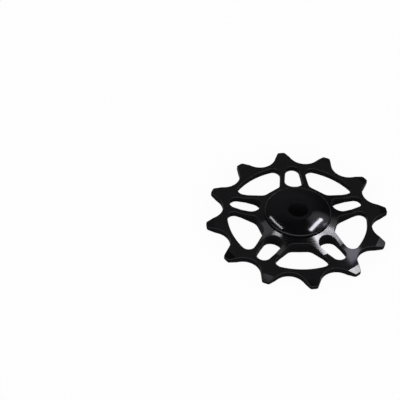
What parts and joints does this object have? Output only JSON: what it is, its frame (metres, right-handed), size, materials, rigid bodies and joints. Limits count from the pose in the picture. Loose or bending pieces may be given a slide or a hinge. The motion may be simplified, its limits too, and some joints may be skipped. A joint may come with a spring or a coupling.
{
  "type": "derailleur jockey wheel",
  "caption": "Toothed aluminium guide pulley for a bicycle rear derailleur: split spokes, flared hub, domed end caps and a sealed ball bearing with a through bolt hole.",
  "frame": {"origin": "on the spin axis, in the middle plane of the toothed plate", "axes": "+Z along the spin axis towards the front cap, +X through a tooth on the centre line of a split spoke"},
  "size_m": [0.05, 0.05, 0.0078],
  "materials": {
    "wheel_anodised": "satin",
    "cap_anodised": "gloss",
    "bearing_steel": "polished",
    "ball_ceramic": "gloss",
    "cage_nylon": "matte",
    "seal_rubber": "matte"
  },
  "bodies": {
    "axle": {"front_cap": "cap_anodised", "rear_cap": "cap_anodised", "bearing_inner_ring": "bearing_steel"},
    "wheel": {"pulley_wheel": "wheel_anodised", "bearing_outer_ring": "bearing_steel", "front_seal": "seal_rubber", "rear_seal": "seal_rubber"},
    "cage": {"ball_cage": "cage_nylon"},
    "rolling_ball_1": {"ball_1": "ball_ceramic"},
    "rolling_ball_2": {"ball_2": "ball_ceramic"},
    "rolling_ball_3": {"ball_3": "ball_ceramic"},
    "rolling_ball_4": {"ball_4": "ball_ceramic"},
    "rolling_ball_5": {"ball_5": "ball_ceramic"},
    "rolling_ball_6": {"ball_6": "ball_ceramic"},
    "rolling_ball_7": {"ball_7": "ball_ceramic"},
    "rolling_ball_8": {"ball_8": "ball_ceramic"},
    "rolling_ball_9": {"ball_9": "ball_ceramic"}
  },
  "joints": [
    {"name": "wheel_spin", "type": "hinge", "parent": "axle", "child": "wheel", "pos_m": [0, 0, 0], "axis": [0, 0, 1], "continuous": true},
    {"name": "cage_orbit", "type": "hinge", "parent": "axle", "child": "cage", "pos_m": [0, 0, 0], "axis": [0, 0, 1], "continuous": true},
    {"name": "ball_1_roll", "type": "hinge", "parent": "cage", "child": "rolling_ball_1", "pos_m": [0.006, 0, 0], "axis": [0, 0, 1], "continuous": true},
    {"name": "ball_2_roll", "type": "hinge", "parent": "cage", "child": "rolling_ball_2", "pos_m": [0.0046, 0.00386, 0], "axis": [0, 0, 1], "continuous": true},
    {"name": "ball_3_roll", "type": "hinge", "parent": "cage", "child": "rolling_ball_3", "pos_m": [0.00104, 0.00591, 0], "axis": [0, 0, 1], "continuous": true},
    {"name": "ball_4_roll", "type": "hinge", "parent": "cage", "child": "rolling_ball_4", "pos_m": [-0.003, 0.0052, 0], "axis": [0, 0, 1], "continuous": true},
    {"name": "ball_5_roll", "type": "hinge", "parent": "cage", "child": "rolling_ball_5", "pos_m": [-0.00564, 0.00205, 0], "axis": [0, 0, 1], "continuous": true},
    {"name": "ball_6_roll", "type": "hinge", "parent": "cage", "child": "rolling_ball_6", "pos_m": [-0.00564, -0.00205, 0], "axis": [0, 0, 1], "continuous": true},
    {"name": "ball_7_roll", "type": "hinge", "parent": "cage", "child": "rolling_ball_7", "pos_m": [-0.003, -0.0052, 0], "axis": [0, 0, 1], "continuous": true},
    {"name": "ball_8_roll", "type": "hinge", "parent": "cage", "child": "rolling_ball_8", "pos_m": [0.00104, -0.00591, 0], "axis": [0, 0, 1], "continuous": true},
    {"name": "ball_9_roll", "type": "hinge", "parent": "cage", "child": "rolling_ball_9", "pos_m": [0.0046, -0.00386, 0], "axis": [0, 0, 1], "continuous": true}
  ],
  "couplings": [
    {"joint": "cage_orbit", "follows": "wheel_spin", "ratio": 0.59921},
    {"joint": "ball_1_roll", "follows": "wheel_spin", "ratio": 2.4207},
    {"joint": "ball_2_roll", "follows": "wheel_spin", "ratio": 2.4207},
    {"joint": "ball_3_roll", "follows": "wheel_spin", "ratio": 2.4207},
    {"joint": "ball_4_roll", "follows": "wheel_spin", "ratio": 2.4207},
    {"joint": "ball_5_roll", "follows": "wheel_spin", "ratio": 2.4207},
    {"joint": "ball_6_roll", "follows": "wheel_spin", "ratio": 2.4207},
    {"joint": "ball_7_roll", "follows": "wheel_spin", "ratio": 2.4207},
    {"joint": "ball_8_roll", "follows": "wheel_spin", "ratio": 2.4207},
    {"joint": "ball_9_roll", "follows": "wheel_spin", "ratio": 2.4207}
  ]
}
